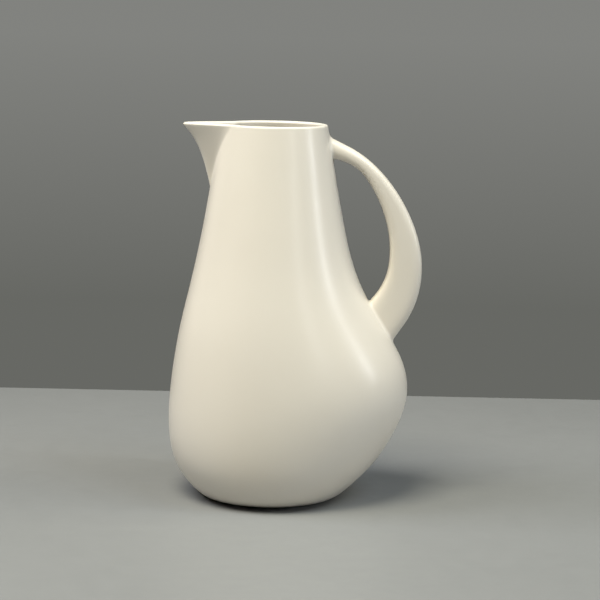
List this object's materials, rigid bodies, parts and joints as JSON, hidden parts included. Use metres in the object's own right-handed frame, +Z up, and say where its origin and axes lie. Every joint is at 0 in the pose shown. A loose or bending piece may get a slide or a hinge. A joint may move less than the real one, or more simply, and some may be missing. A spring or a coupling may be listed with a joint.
{
  "type": "ceramic pitcher",
  "caption": "Tall satin-glazed ceramic pitcher with a pinched beak, a belly that swells under its crescent side handle, and a bare foot ring.",
  "frame": {"origin": "centre of the foot ring's underside, on the table", "axes": "+Z up the neck, +X towards the handle, -X towards the beak"},
  "size_m": [0.181, 0.1484, 0.27],
  "materials": {
    "glaze": "satin",
    "bare_clay": "matte"
  },
  "bodies": {
    "root": {"body": "glaze", "spout": "glaze", "handle": "glaze", "upper_handle_joint": "glaze", "lower_handle_joint": "glaze", "foot_ring": "bare_clay"}
  },
  "joints": []
}
